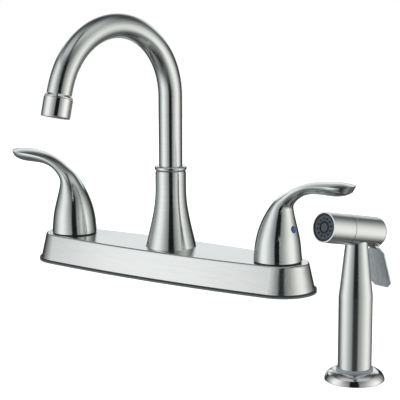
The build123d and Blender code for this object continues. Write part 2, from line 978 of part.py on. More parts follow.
def head_plane():
    """Plane whose normal is the head's axis, pointing to the nozzle, with its Y axis upwards."""
    swing = radians(head_swing)
    tilt = radians(head_tilt)
    forward = (cos(swing) * cos(tilt), sin(swing) * cos(tilt), sin(tilt))
    return Plane(origin=(sprayer_x, sprayer_y, head_height), x_dir=(-sin(swing), cos(swing), 0), z_dir=forward)


def head_side_plane():
    """Upright plane through the head's axis: X forwards along the axis, Y upwards."""
    front = head_plane()
    return Plane(origin=front.origin, x_dir=front.z_dir, z_dir=-front.x_dir)


def spray_grip():
    """Tapered grip, saddled to the head, with a spigot through the head's wall."""
    foot = grip_radius - grip_foot_round
    round_foot = ThreePointArc(
        (foot, grip_low),
        (foot + grip_foot_round * sin(pi / 4), grip_low + grip_foot_round * (1 - cos(pi / 4))),
        (grip_radius, grip_low + grip_foot_round),
    )
    lines = Polyline(
        (grip_radius, grip_low + grip_foot_round),
        (grip_radius, grip_shoulder),
        (grip_neck_radius, grip_neck_top),
        (grip_neck_radius, head_height),
        (0, head_height),
        (0, grip_low),
        (foot, grip_low),
    )
    body = holder_place * revolve(Plane.XZ * make_face([round_foot, *lines.edges()]), Axis.Z)
    body -= head_plane() * rod(head_radius + slip, -head_back, head_front)
    body += holder_place * rod(grip_spigot_radius, grip_shoulder, grip_spigot_top)
    body -= holder_place * rod(grip_water_radius, grip_low, grip_spigot_top)
    body -= holder_place * rod(tail_radius + thread_gap, grip_low, grip_low + tail_socket)
    return body


def hose_inlet():
    """Tail of the grip with the thread that takes the hose."""
    tail = rod(tail_radius, grip_low, grip_low + tail_socket)
    tail += rod(tail_collar_radius, grip_low - tail_collar_height, grip_low)
    tail += rod(tail_radius, tail_low, grip_low)
    tail -= rod(tail_bore, tail_low, grip_low + tail_socket)
    tail -= rod(hose_thread_radius, tail_low, washer_seat)
    tail -= rod(inlet_washer_radius + slip, washer_seat, washer_seat + inlet_washer_height)
    return holder_place * tail


def inlet_washer():
    return holder_place * ring(inlet_washer_radius, grip_water_radius, washer_seat, washer_seat + inlet_washer_height)


# Sprayer's head


def lever_slot():
    """Slot through the head's lower wall and back edge, for the thumb lever."""
    slot = Box(2 * slot_half_width, head_radius, head_back, align=(Align.CENTER, Align.MAX, Align.MAX))
    return Pos(0, -slot_ceiling, -slot_front) * slot


def pivot_rod(radius, half_length):
    """Rod along the thumb lever's pivot."""
    rod_body = Cylinder(radius, 2 * half_length)
    return Pos(0, -pivot_drop, -pivot_back) * Rot(0, 90, 0) * rod_body


def spray_head():
    """Rear barrel, open to the front, with its rounded back wall and lever slot."""
    seam = head_seam - seam_groove / 2
    body = rod(head_radius, -head_back, seam)
    body = fillet(body.edges().group_by(Axis.Z)[0], head_back_round)
    body += rod(sleeve_spigot_radius, seam, seam + sleeve_spigot_length)
    body -= rod(head_bore, head_back_wall - head_back, seam)
    body -= rod(sleeve_spigot_radius - sleeve_spigot_wall, seam, seam + sleeve_spigot_length)
    body = head_plane() * (body - lever_slot() - pivot_rod(pin_radius + slip, head_radius))
    return body - holder_place * rod(grip_spigot_radius + slip, grip_shoulder, head_height)


def spray_sleeve():
    """Front barrel over the rear one's spigot, with a thin bright rim round the face."""
    low = head_seam + seam_groove / 2
    body = rod(head_radius, low, head_front)
    body -= rod(sleeve_spigot_radius + slip, low, low + sleeve_spigot_length)
    body -= rod(head_radius - sleeve_wall, low + sleeve_spigot_length, head_front)
    body -= rod(head_radius - face_rim, head_front - face_recess - face_thickness, head_front)
    return head_plane() * body


def face_radius():
    return head_radius - face_rim - slip


def spray_face():
    """Nozzle disc with a stepped edge, a ring groove and a circle of nozzles."""
    front = head_front - face_recess
    back = front - face_thickness
    disc = rod(face_radius(), back, front)
    disc -= ring(2 * head_radius, face_radius() - face_step, front - face_step_depth, front)
    disc -= ring(face_groove_radius, face_groove_radius - face_groove_width, front - face_groove_depth, front)
    for index in range(nozzle_count):
        hole = Pos(nozzle_circle, 0, 0) * rod(nozzle_radius, back, front)
        disc -= Rot(0, 0, (index + 0.5) * 360 / nozzle_count) * hole
    return head_plane() * disc


def face_seal():
    top = head_front - face_recess - face_thickness
    outer = head_radius - sleeve_wall - slip
    return head_plane() * ring(outer, outer - face_seal_width, top - face_seal_height, top)


# Sprayer's valve


def valve_seat():
    return head_plane() * ring(head_bore - slip, valve_hole, seat_back, seat_front)


def disc_front():
    return seat_back - valve_gap


def valve_stem():
    """Stem with a collar at its back that the thumb lever's fork pulls."""
    front = disc_front() - valve_disc_height - slip
    back = -stem_collar_front - stem_collar_height
    stem = rod(valve_stem_radius, back, front)
    return head_plane() * (stem + rod(stem_collar_radius, back, -stem_collar_front))


def valve_disc():
    front = disc_front()
    return head_plane() * rod(valve_disc_radius, front - valve_disc_height, front)


def stem_guide():
    low = -stem_guide_front - stem_guide_height
    return head_plane() * ring(head_bore - slip, valve_stem_radius + slip, low, -stem_guide_front)


def valve_spring():
    """Plain sleeve in the room of the valve's coil spring."""
    high = disc_front() - valve_disc_height - slip
    return head_plane() * ring(spring_radius, spring_radius - spring_wire, slip - stem_guide_front, high)


# Thumb lever


def lever_pin():
    return head_plane() * pivot_rod(pin_radius, pin_half_length)


def paddle():
    """Flat plate of the thumb lever, tilted out from the grip."""
    tilt = radians(paddle_tilt)
    swing = radians(head_swing)
    rear = Vector(-cos(swing), -sin(swing), 0)
    top = Vector(sprayer_x, sprayer_y, paddle_top) + rear * paddle_back
    normal = rear * cos(tilt) + Vector(0, 0, sin(tilt))
    across = Vector(sin(swing), -cos(swing), 0)
    place = Plane(origin=top, x_dir=across, z_dir=normal)
    top_half = paddle_top_half_width
    low_half = paddle_low_half_width
    outline = Polyline(
        (-top_half + paddle_corner, 0),
        (top_half - paddle_corner, 0),
        (top_half, -paddle_corner),
        (low_half, -paddle_length + paddle_corner),
        (low_half - paddle_corner, -paddle_length),
        (-low_half + paddle_corner, -paddle_length),
        (-low_half, -paddle_length + paddle_corner),
        (-top_half, -paddle_corner),
        close=True,
    )
    return place * extrude(make_face(outline), paddle_thickness / 2, both=True)


def side_strap(start, end, thickness, low, high):
    """Flat bar between two points of the head's side plane, between two distances across it."""
    along = (Vector(*end) - Vector(*start)).normalized()
    across = Vector(-along.Y, along.X) * (thickness / 2)
    corners = [Vector(*start) + across, Vector(*end) + across, Vector(*end) - across, Vector(*start) - across]
    outline = make_face(Polyline(*corners, close=True))
    return head_side_plane() * (Pos(0, 0, low) * extrude(outline, high - low))


def spray_lever():
    """Thumb lever: paddle, neck, eye on the pin and a fork round the valve's stem."""
    pivot = (-pivot_back, -pivot_drop)
    tilt = radians(head_tilt)
    drop = paddle_top - head_height
    paddle_foot = (-paddle_back * cos(tilt) + drop * sin(tilt), paddle_back * sin(tilt) + drop * cos(tilt))
    body = paddle()
    body += side_strap(pivot, paddle_foot, neck_thickness, -neck_half_width, neck_half_width)
    body += head_plane() * pivot_rod(eye_radius, eye_half_width)
    for side in (-1, 1):
        low = min(side * fork_inner, side * fork_outer)
        high = max(side * fork_inner, side * fork_outer)
        elbow = (-fork_back, -fork_elbow_drop)
        body += side_strap(pivot, elbow, fork_thickness, low, high)
        root = (-fork_back, -fork_elbow_drop - fork_thickness / 2)
        body += side_strap(root, (-fork_back, fork_tip_rise), fork_thickness, low, high)
    return body - head_plane() * pivot_rod(pin_radius + slip, head_radius)


pieces = {
    "deck_plate": deck_plate(),
    "base_gasket": base_gasket(),
    "hub_rings": hub_rings(),
    "hot_handle": handle(-1),
    "cold_handle": handle(1),
    "hot_index_button": index_button(-1),
    "cold_index_button": index_button(1),
    "hot_set_screw": set_screw(-1),
    "cold_set_screw": set_screw(1),
    "spout_bell": spout_bell(),
    "spout_collar": spout_collar(),
    "spout_bushing": spout_bushing(),
    "spout_clip": spout_clip(),
    "spout_tube": spout_tube(),
    "spout_stem": spout_stem(),
    "stem_o_rings": stem_o_rings(),
    "spout_end_ring": spout_end_ring(),
    "aerator_housing": aerator_housing(),
    "aerator_washer": aerator_washer(),
    "aerator_insert": aerator_insert(),
    "hot_valve_body": valve_body(-1),
    "cold_valve_body": valve_body(1),
    "centre_post": centre_post(),
    "cross_tubes": cross_tubes(),
    "plate_nuts": plate_nuts(),
    "hot_cartridge": cartridge_at(-1),
    "cold_cartridge": cartridge_at(1),
    "bonnet_nuts": bonnet_nuts(),
    "seat_seals": seat_seals(),
    "fixed_discs": fixed_discs(),
    "hot_moving_disc": moving_disc(-1),
    "cold_moving_disc": moving_disc(1),
    "hot_stem": valve_stem_piece(-1),
    "cold_stem": valve_stem_piece(1),
    "diverter_body": diverter_body(),
    "diverter_poppet": diverter_poppet(),
    "diverter_spring": diverter_spring(),
    "spray_outlet": spray_outlet(),
    "shank_washers": shank_washers(),
    "shank_nuts": shank_nuts(),
    "holder_flange": holder_flange(),
    "holder_ring": holder_ring(),
    "holder_gasket": holder_gasket(),
    "holder_washer": holder_washer(),
    "holder_nut": holder_nut(),
    "spray_grip": spray_grip(),
    "hose_inlet": hose_inlet(),
    "inlet_washer": inlet_washer(),
    "spray_head": spray_head(),
    "spray_sleeve": spray_sleeve(),
    "spray_face": spray_face(),
    "face_seal": face_seal(),
    "valve_seat": valve_seat(),
    "valve_stem": valve_stem(),
    "valve_disc": valve_disc(),
    "valve_spring": valve_spring(),
    "stem_guide": stem_guide(),
    "lever_pin": lever_pin(),
    "spray_lever": spray_lever(),
}

os.makedirs("parts", exist_ok=True)
for name, body in pieces.items():
    export_step(body, f"parts/{name}.step")
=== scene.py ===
import json
import math

import bpy
from mathutils import Matrix, Vector


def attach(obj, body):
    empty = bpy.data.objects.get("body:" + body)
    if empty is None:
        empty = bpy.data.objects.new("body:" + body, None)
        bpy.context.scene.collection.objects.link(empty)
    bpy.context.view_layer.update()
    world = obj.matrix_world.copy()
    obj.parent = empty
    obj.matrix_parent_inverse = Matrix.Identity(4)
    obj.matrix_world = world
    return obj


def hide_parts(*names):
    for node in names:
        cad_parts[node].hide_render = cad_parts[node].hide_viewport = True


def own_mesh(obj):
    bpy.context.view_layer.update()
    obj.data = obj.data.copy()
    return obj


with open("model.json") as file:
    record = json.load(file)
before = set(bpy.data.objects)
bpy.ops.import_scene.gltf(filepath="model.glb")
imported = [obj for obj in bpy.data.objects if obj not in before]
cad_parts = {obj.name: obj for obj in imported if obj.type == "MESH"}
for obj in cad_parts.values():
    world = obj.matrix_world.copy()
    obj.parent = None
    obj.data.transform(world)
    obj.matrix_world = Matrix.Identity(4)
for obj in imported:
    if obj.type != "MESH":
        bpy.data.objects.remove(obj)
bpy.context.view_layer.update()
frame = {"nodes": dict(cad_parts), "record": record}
nodes = frame["nodes"]

# Metres, +Z up. The origin lies on the sink deck under the spout, and the hubs stand on X.
hub_x = 0.1016
sprayer = Vector((0.2622, -0.1700, 0.0))

# Frame of the sprayer's head: its Z runs along the barrel to the nozzles, its X is level
head_middle = sprayer + Vector((0.0, 0.0, 0.0934))
head_swing = math.radians(255.0)
head_tilt = math.radians(11.0)
head_way = Vector(
    (
        math.cos(head_swing) * math.cos(head_tilt),
        math.sin(head_swing) * math.cos(head_tilt),
        math.sin(head_tilt),
    )
)
head_side = Vector((-math.sin(head_swing), math.cos(head_swing), 0.0))
head_frame = Matrix((head_side, head_way.cross(head_side), head_way)).transposed()

# Nozzle disc: how far its front lies along the head, and the radius of its circle of nozzles
face_front = 0.0284
nozzle_count = 12
nozzle_circle = 0.0053

# Painted shade on the disc: the radii between which it sets in at the edge, and at the groove's inner and
# outer wall
face_edge = (0.0069, 0.0074)
groove_inner = (0.0024, 0.0028)
groove_outer = (0.0038, 0.0042)

# Water's way at the spout's outlet, and the end of the tube that it leaves from
outlet_end = Vector((-0.01815, -0.11459, 0.15541))
outlet_way = Vector((-0.03705, -0.23392, -0.97155))

# Rubber pad: its own pale colour up to the first height, and painted shade from the second, where the plate
# shades it
pad_pale_below = 0.0008
pad_dark_above = 0.0018

# Index buttons
index_height = 0.0500
index_radius = 0.0027

# Heights of the threads under the sink deck. A shank's run below its nut and above its washer.
shank_stretches = ((-0.0448, -0.0303), (-0.0177, -0.0010))
nipple_stretches = ((-0.0278, -0.0125),)

# Light tent and floor: round, about one middle, with this many sides. Lamps: square, aimed at one place.
tent_middle = (0.03, 0.0, 0.0)
stage_sides = 96
tent_radius = 1.15
tent_height = 2.2
tent_strength = 1.13
floor_radius = 1.1
floor_glow = 0.75
lamp_size = 0.9
lamp_aim = Vector((0.05, -0.05, 0.05))

# Camera: its angles in degrees, its lens in millimetres
camera_place = Vector((0.6648, -0.9143, 0.2610))
camera_lens = 127.76
camera_azimuth = 34.83
camera_elevation = 10.03
camera_roll = -0.154


# Node helpers


def new_group(name, inputs, outputs):
    """Shader node group with named inputs and outputs, and its two end nodes."""
    tree = bpy.data.node_groups.new(name, "ShaderNodeTree")
    for label, kind, value in inputs:
        socket = tree.interface.new_socket(label, in_out="INPUT", socket_type=kind)
        if value is not None:
            socket.default_value = value
    for label, kind in outputs:
        tree.interface.new_socket(label, in_out="OUTPUT", socket_type=kind)
    return tree, tree.nodes.new("NodeGroupInput"), tree.nodes.new("NodeGroupOutput")


def add_node(tree, kind, **settings):
    """Node of a kind, with its settings."""
    node = tree.nodes.new(kind)
    for name, value in settings.items():
        setattr(node, name, value)
    return node


def feed(tree, value, socket):
    """Links an output to an input, or gives the input a value. A tuple is a colour without its alpha."""
    if isinstance(value, bpy.types.NodeSocket):
        tree.links.new(value, socket)
    elif isinstance(value, tuple):
        socket.default_value = (*value, 1.0)
    else:
        socket.default_value = value


def math_node(tree, operation, *values):
    """Math node whose inputs are sockets or numbers. Returns its output."""
    node = add_node(tree, "ShaderNodeMath", operation=operation)
    for value, socket in zip(values, node.inputs):
        feed(tree, value, socket)
    return node.outputs[0]


def remap(tree, value, source, target=(0.0, 1.0), smooth=True):
    """Value carried from a source range to a target range and held inside it."""
    node = add_node(tree, "ShaderNodeMapRange", interpolation_type="SMOOTHSTEP" if smooth else "LINEAR")
    labels = ("Value", "From Min", "From Max", "To Min", "To Max")
    for label, part in zip(labels, (value, *source, *target)):
        feed(tree, part, node.inputs[label])
    return node.outputs["Result"]


def mix_colors(tree, share, first, second, blend="MIX"):
    """Colour mix whose inputs are sockets or values. Returns its output."""
    node = add_node(tree, "ShaderNodeMix", data_type="RGBA", blend_type=blend)
    for index, value in ((0, share), (6, first), (7, second)):
        feed(tree, value, node.inputs[index])
    return node.outputs[2]


def noise(tree, vector, scale, detail, roughness=0.5):
    """Cloudy noise from 0 to 1 over a vector."""
    node = add_node(tree, "ShaderNodeTexNoise")
    node.inputs["Scale"].default_value = scale
    node.inputs["Detail"].default_value = detail
    node.inputs["Roughness"].default_value = roughness
    tree.links.new(vector, node.inputs["Vector"])
    return node.outputs["Fac"]


# Shared surface effects


def brush_grain_group():
    """Fine brush lines of satin nickel. The vector is already stretched along the brush."""
    tree, start, end = new_group(
        "Brush grain",
        [
            ("Vector", "NodeSocketVector", None),
            ("Color", "NodeSocketColor", (0.75, 0.74, 0.72, 1.0)),
            ("Roughness", "NodeSocketFloat", 0.2),
            ("Contrast", "NodeSocketFloat", 0.05),
        ],
        [("Color", "NodeSocketColor"), ("Roughness", "NodeSocketFloat"), ("Height", "NodeSocketFloat")],
    )
    vector = start.outputs["Vector"]
    fine = noise(tree, vector, 1.0, detail=3.0, roughness=0.6)
    broad = noise(tree, vector, 0.22, detail=1.0)
    fine_part = math_node(tree, "MULTIPLY", fine, 0.7)
    broad_part = math_node(tree, "MULTIPLY", broad, 0.3)
    lines = math_node(tree, "ADD", fine_part, broad_part)
    swing = math_node(tree, "MULTIPLY_ADD", lines, 2.0, -1.0)
    shade = math_node(tree, "MULTIPLY_ADD", swing, start.outputs["Contrast"], 1.0)
    grey = add_node(tree, "ShaderNodeCombineColor")
    for index in range(3):
        tree.links.new(shade, grey.inputs[index])
    tinted = mix_colors(tree, 1.0, start.outputs["Color"], grey.outputs[0], blend="MULTIPLY")
    tree.links.new(tinted, end.inputs["Color"])
    rough_swing = math_node(tree, "MULTIPLY", swing, 0.25)
    rough = math_node(tree, "MULTIPLY", start.outputs["Roughness"], math_node(tree, "ADD", 1.0, rough_swing))
    tree.links.new(rough, end.inputs["Roughness"])
    tree.links.new(lines, end.inputs["Height"])
    return tree


def handling_marks_group():
    """Faint cloudy marks that hands and wiping leave on a finish."""
    tree, start, end = new_group(
        "Handling marks",
        [
            ("Vector", "NodeSocketVector", None),
            ("Roughness", "NodeSocketFloat", 0.2),
            ("Strength", "NodeSocketFloat", 0.1),
        ],
        [("Roughness", "NodeSocketFloat")],
    )
    cloud = noise(tree, start.outputs["Vector"], 24.0, detail=3.0, roughness=0.55)
    wipe = noise(tree, start.outputs["Vector"], 95.0, detail=2.0)
    mask = remap(tree, math_node(tree, "MULTIPLY_ADD", wipe, 0.3, cloud), (0.5, 0.85))
    added = math_node(tree, "MULTIPLY", mask, start.outputs["Strength"])
    tree.links.new(math_node(tree, "ADD", start.outputs["Roughness"], added), end.inputs["Roughness"])
    return tree


def speckle_group():
    """Two colours in soft grains, for moulded plastic, rubber and ceramic."""
    tree, start, end = new_group(
        "Speckle",
        [
            ("Vector", "NodeSocketVector", None),
            ("Color", "NodeSocketColor", (0.8, 0.8, 0.8, 1.0)),
            ("Grain Color", "NodeSocketColor", (0.7, 0.7, 0.7, 1.0)),
            ("Grain Scale", "NodeSocketFloat", 900.0),
            ("Roughness", "NodeSocketFloat", 0.4),
        ],
        [("Color", "NodeSocketColor"), ("Roughness", "NodeSocketFloat"), ("Height", "NodeSocketFloat")],
    )
    grain = add_node(tree, "ShaderNodeTexNoise")
    grain.inputs["Detail"].default_value = 2.0
    tree.links.new(start.outputs["Vector"], grain.inputs["Vector"])
    tree.links.new(start.outputs["Grain Scale"], grain.inputs["Scale"])
    flow = noise(tree, start.outputs["Vector"], 60.0, detail=2.0)
    share = remap(tree, grain.outputs["Fac"], (0.35, 0.65))
    both = math_node(tree, "MULTIPLY_ADD", flow, 0.5, math_node(tree, "MULTIPLY", share, 0.5))
    shade = mix_colors(tree, both, start.outputs["Color"], start.outputs["Grain Color"])
    tree.links.new(shade, end.inputs["Color"])
    rough = math_node(tree, "MULTIPLY_ADD", both, 0.12, start.outputs["Roughness"])
    tree.links.new(rough, end.inputs["Roughness"])
    tree.links.new(grain.outputs["Fac"], end.inputs["Height"])
    return tree


def machining_group():
    """Tool rings of turned metal with patches where it has dulled."""
    tree, start, end = new_group(
        "Machining",
        [
            ("Vector", "NodeSocketVector", None),
            ("Color", "NodeSocketColor", (0.8, 0.6, 0.3, 1.0)),
            ("Dull Color", "NodeSocketColor", (0.5, 0.35, 0.2, 1.0)),
            ("Roughness", "NodeSocketFloat", 0.3),
        ],
        [("Color", "NodeSocketColor"), ("Roughness", "NodeSocketFloat"), ("Height", "NodeSocketFloat")],
    )
    rings = add_node(tree, "ShaderNodeTexWave", wave_type="BANDS", bands_direction="Z")
    rings.inputs["Scale"].default_value = 700.0
    rings.inputs["Distortion"].default_value = 1.5
    tree.links.new(start.outputs["Vector"], rings.inputs["Vector"])
    patches = remap(tree, noise(tree, start.outputs["Vector"], 130.0, detail=4.0), (0.45, 0.7))
    shade = mix_colors(tree, patches, start.outputs["Color"], start.outputs["Dull Color"])
    tree.links.new(shade, end.inputs["Color"])
    rough = math_node(tree, "MULTIPLY_ADD", patches, 0.25, start.outputs["Roughness"])
    tree.links.new(rough, end.inputs["Roughness"])
    tree.links.new(rings.outputs["Fac"], end.inputs["Height"])
    return tree


def ring_mask_group():
    """Mask that rises from 0 to 1 between two radii about an axis through the vector's origin."""
    tree, start, end = new_group(
        "Ring mask",
        [
            ("Vector", "NodeSocketVector", None),
            ("Axis", "NodeSocketVector", (0.0, 0.0, 1.0)),
            ("Inner", "NodeSocketFloat", 0.001),
            ("Outer", "NodeSocketFloat", 0.002),
        ],
        [("Mask", "NodeSocketFloat")],
    )
    cross = add_node(tree, "ShaderNodeVectorMath", operation="CROSS_PRODUCT")
    tree.links.new(start.outputs["Vector"], cross.inputs[0])
    tree.links.new(start.outputs["Axis"], cross.inputs[1])
    length = add_node(tree, "ShaderNodeVectorMath", operation="LENGTH")
    tree.links.new(cross.outputs["Vector"], length.inputs[0])
    mask = remap(tree, length.outputs["Value"], (start.outputs["Inner"], start.outputs["Outer"]))
    tree.links.new(mask, end.inputs["Mask"])
    return tree


brush_grain = brush_grain_group()
handling_marks = handling_marks_group()
speckle = speckle_group()
machining = machining_group()
ring_mask = ring_mask_group()


# Finishes


def new_finish(name):
    """Material with its node tree, Principled shader and object coordinates."""
    material = bpy.data.materials.new(name)
    material.use_nodes = True
    tree = material.node_tree
    shader = tree.nodes["Principled BSDF"]
    place = add_node(tree, "ShaderNodeTexCoord").outputs["Object"]
    return material, tree, shader, place


def stretched(tree, place, scale, centre=(0.0, 0.0, 0.0)):
    """Object coordinates moved to a centre and stretched, for patterns that run one way."""
    node = add_node(tree, "ShaderNodeMapping")
    node.inputs["Location"].default_value = [-c * s for c, s in zip(centre, scale)]
    node.inputs["Scale"].default_value = scale
    tree.links.new(place, node.inputs["Vector"])
    return node.outputs["Vector"]


def use_group(tree, group, **values):
    """Group node whose inputs are sockets or values, each named with an underscore for a space."""
    node = add_node(tree, "ShaderNodeGroup", node_tree=group)
    for label, value in values.items():
        feed(tree, value, node.inputs[label.replace("_", " ")])
    return node


def add_bump(tree, shader, height, distance):
    """Relief of a given depth on the shader's normal."""
    bump = add_node(tree, "ShaderNodeBump")
    bump.inputs["Strength"].default_value = 1.0
    bump.inputs["Distance"].default_value = distance
    tree.links.new(height, bump.inputs["Height"])
    tree.links.new(bump.outputs["Normal"], shader.inputs["Normal"])


def brushed_metal(name, color, roughness, stretch, contrast, depth=0.000004, marks=0.05):
    """Satin metal. Its brush lines run the way in which the stretch is low."""
    material, tree, shader, place = new_finish(name)
    grain = use_group(
        tree,
        brush_grain,
        Vector=stretched(tree, place, stretch),
        Color=color,
        Roughness=roughness,
        Contrast=contrast,
    )
    touched = use_group(
        tree, handling_marks, Vector=place, Roughness=grain.outputs["Roughness"], Strength=marks
    )
    tree.links.new(grain.outputs["Color"], shader.inputs["Base Color"])
    tree.links.new(touched.outputs["Roughness"], shader.inputs["Roughness"])
    add_bump(tree, shader, grain.outputs["Height"], depth)
    shader.inputs["Metallic"].default_value = 1.0
    return material


def turned_metal(name, color, dull_color, roughness):
    """Bare machined metal with shallow tool rings."""
    ring_depth = 0.00001
    material, tree, shader, place = new_finish(name)
    worked = use_group(
        tree, machining, Vector=place, Color=color, Dull_Color=dull_color, Roughness=roughness
    )
    tree.links.new(worked.outputs["Color"], shader.inputs["Base Color"])
    tree.links.new(worked.outputs["Roughness"], shader.inputs["Roughness"])
    add_bump(tree, shader, worked.outputs["Height"], ring_depth)
    shader.inputs["Metallic"].default_value = 1.0
    return material


def grained_parts(name, color, grain_color, scale, roughness, depth):
    """Material with a fine grain, and its tree, shader, object coordinates and grained colour."""
    material, tree, shader, place = new_finish(name)
    body = use_group(
        tree,
        speckle,
        Vector=place,
        Color=color,
        Grain_Color=grain_color,
        Grain_Scale=scale,
        Roughness=roughness,
    )
    tree.links.new(body.outputs["Roughness"], shader.inputs["Roughness"])
    add_bump(tree, shader, body.outputs["Height"], depth)
    return material, tree, shader, place, body.outputs["Color"]


def grained(name, **look):
    """Moulded plastic, rubber or ceramic with a fine grain."""
    material, tree, shader, _, shade = grained_parts(name, **look)
    tree.links.new(shade, shader.inputs["Base Color"])
    return material


def nozzle_face(name):
    """Moulded nozzle disc, with painted shade at its outer edge and in the groove round its middle."""
    material, tree, shader, place, moulded = grained_parts(
        name,
        color=(0.062, 0.078, 0.10),
        grain_color=(0.045, 0.058, 0.078),
        scale=1600.0,
        roughness=0.42,
        depth=0.00002,
    )
    centred = stretched(tree, place, (1.0, 1.0, 1.0), head_middle)
    edge, inner, outer = (
        use_group(tree, ring_mask, Vector=centred, Axis=head_way, Inner=start, Outer=full).outputs["Mask"]
        for start, full in (face_edge, groove_inner, groove_outer)
    )
    # Painted shade: near black towards the disc's outer edge and inside the groove round its middle
    dark = math_node(tree, "MAXIMUM", edge, math_node(tree, "SUBTRACT", inner, outer))
    shade = mix_colors(tree, dark, moulded, (0.006, 0.007, 0.010))
    tree.links.new(shade, shader.inputs["Base Color"])
    return material


def pad_rubber(name):
    """Rubber pad with painted shade where it goes in under the plate, and its own paler colour at its lower
    lip.
    """
    material, tree, shader, place, unshaded_pad = grained_parts(
        name,
        color=(0.19, 0.215, 0.235),
        grain_color=(0.15, 0.17, 0.19),
        scale=1200.0,
        roughness=0.5,
        depth=0.00002,
    )
    split = add_node(tree, "ShaderNodeSeparateXYZ")
    tree.links.new(place, split.inputs["Vector"])
    under_plate_shade = remap(tree, split.outputs["Z"], (pad_pale_below, pad_dark_above))
    # Painted shade: the pad turns near black above the second height, where it goes in under the plate
    shade = mix_colors(tree, under_plate_shade, unshaded_pad, (0.022, 0.027, 0.031))
    tree.links.new(shade, shader.inputs["Base Color"])
    return material


def enamel_button(name, color, rim_shade_color):
    """Enamelled index button, with painted shade on its rim, where it sits in the hub."""
    material, tree, shader, place, enamel = grained_parts(
        name,
        color=color,
        grain_color=tuple(0.8 * part for part in color),
        scale=1500.0,
        roughness=0.2,
        depth=0.000005,
    )
    edge = use_group(
        tree,
        ring_mask,
        Vector=stretched(tree, place, (1.0, 1.0, 1.0), (0.0, 0.0, index_height)),
        Axis=Vector((1.0, 0.0, 0.0)),
        Inner=0.80 * index_radius,
        Outer=0.97 * index_radius,
    )
    # Painted shade: the enamel turns to the rim's shade colour towards the button's edge
    shade = mix_colors(tree, edge.outputs["Mask"], enamel, rim_shade_color)
    tree.links.new(shade, shader.inputs["Base Color"])
    shader.inputs["Coat Weight"].default_value = 0.4
    return material


nickel = (0.722, 0.742, 0.734)
plate_nickel = (0.732, 0.743, 0.730)

# Stretch along X, Y and Z, per metre: the brush lines run the way in which it is low
round_brush = (40.0, 40.0, 1300.0)
plate_brush = (22.0, 1200.0, 1200.0)
lever_brush = (750.0, 750.0, 24.0)
blasted = (900.0, 900.0, 900.0)

nickel_turned = brushed_metal(
    "brushed_nickel_turned", nickel, roughness=0.12, stretch=round_brush, contrast=0.10, marks=0.03
)
nickel_plate = brushed_metal(
    "brushed_nickel_plate", plate_nickel, roughness=0.17, stretch=plate_brush, contrast=0.12, marks=0.03
)
nickel_lever = brushed_metal(
    "brushed_nickel_lever", nickel, roughness=0.11, stretch=round_brush, contrast=0.04, marks=0.02
)
nickel_grip = brushed_metal(
    "brushed_nickel_grip", nickel, roughness=0.18, stretch=round_brush, contrast=0.07, marks=0.03
)
nickel_head = brushed_metal(
    "brushed_nickel_head", nickel, roughness=0.24, stretch=blasted, contrast=0.07, marks=0.03
)
nickel_bright = brushed_metal(
    "polished_nickel",
    (0.80, 0.80, 0.79),
    roughness=0.07,
    stretch=round_brush,
    contrast=0.015,
    depth=0.000001,
    marks=0.03,
)
lever_steel = brushed_metal(
    "lever_steel",
    (0.68, 0.71, 0.73),
    roughness=0.34,
    stretch=lever_brush,
    contrast=0.60,
    depth=0.00001,
)
finishes = {
    "brushed_nickel": nickel_turned,
    "polished_nickel": nickel_bright,
    "lever_steel": lever_steel,
    "dark_rubber": pad_rubber("dark_rubber"),
    # Glide ring under each hub, made near black so that it stands in for the shadow in the gap between hub
    # and plate
    "glide_ring": grained(
        "glide_ring",
        color=(0.02, 0.02, 0.02),
        grain_color=(0.03, 0.03, 0.03),
        scale=900.0,
        roughness=0.45,
        depth=0.00001,
    ),
    "guide_plastic": grained(
        "guide_plastic",
        color=(0.42, 0.46, 0.50),
        grain_color=(0.38, 0.42, 0.46),
        scale=900.0,
        roughness=0.3,
        depth=0.00001,
    ),
    "hot_red": enamel_button("hot_red", color=(0.62, 0.02, 0.02), rim_shade_color=(0.10, 0.005, 0.005)),
    "cold_blue": enamel_button("cold_blue", color=(0.015, 0.16, 0.62), rim_shade_color=(0.004, 0.012, 0.06)),
    "nozzle_grey": nozzle_face("nozzle_grey"),
    "brass": turned_metal(
        "brass", color=(0.76, 0.56, 0.27), dull_color=(0.52, 0.36, 0.17), roughness=0.28
    ),
    "copper": turned_metal(
        "copper", color=(0.82, 0.42, 0.27), dull_color=(0.45, 0.21, 0.13), roughness=0.26
    ),
    "nut_zinc": turned_metal(
        "nut_zinc", color=(0.62, 0.64, 0.66), dull_color=(0.48, 0.50, 0.50), roughness=0.36
    ),
    "white_plastic": grained(
        "white_plastic",
        color=(0.78, 0.78, 0.75),
        grain_color=(0.72, 0.72, 0.70),
        scale=700.0,
        roughness=0.38,
        depth=0.00001,
    ),
    "black_plastic": grained(
        "black_plastic",
        color=(0.025, 0.025, 0.027),
        grain_color=(0.04, 0.04, 0.04),
        scale=800.0,
        roughness=0.42,
        depth=0.00003,
    ),
    "ceramic": grained(
        "ceramic",
        color=(0.82, 0.81, 0.78),
        grain_color=(0.76, 0.75, 0.73),
        scale=2400.0,
        roughness=0.12,
        depth=0.000002,
    ),
    "seal_rubber": grained(
        "seal_rubber",
        color=(0.018, 0.018, 0.018),
        grain_color=(0.03, 0.03, 0.03),
        scale=1400.0,
        roughness=0.55,
        depth=0.00002,
    ),
    "spring_steel": turned_metal(
        "spring_steel", color=(0.60, 0.60, 0.60), dull_color=(0.45, 0.45, 0.45), roughness=0.22
    ),
}

# Nodes whose finish differs from the plain one of their slot
own_finish = {
    "deck_plate": nickel_plate,
    "hot_handle": nickel_lever,
    "cold_handle": nickel_lever,
    "spray_grip": nickel_grip,
    "spray_head": nickel_head,
    "spray_sleeve": nickel_head,
}
slot_of = {part["node"]: part["material_slot"] for part in frame["record"]["subparts"]}
for name, node in nodes.items():
    finish = own_finish.get(name, finishes[slot_of[name]])
    for material_slot in node.material_slots:
        material_slot.material = finish


# Pieces

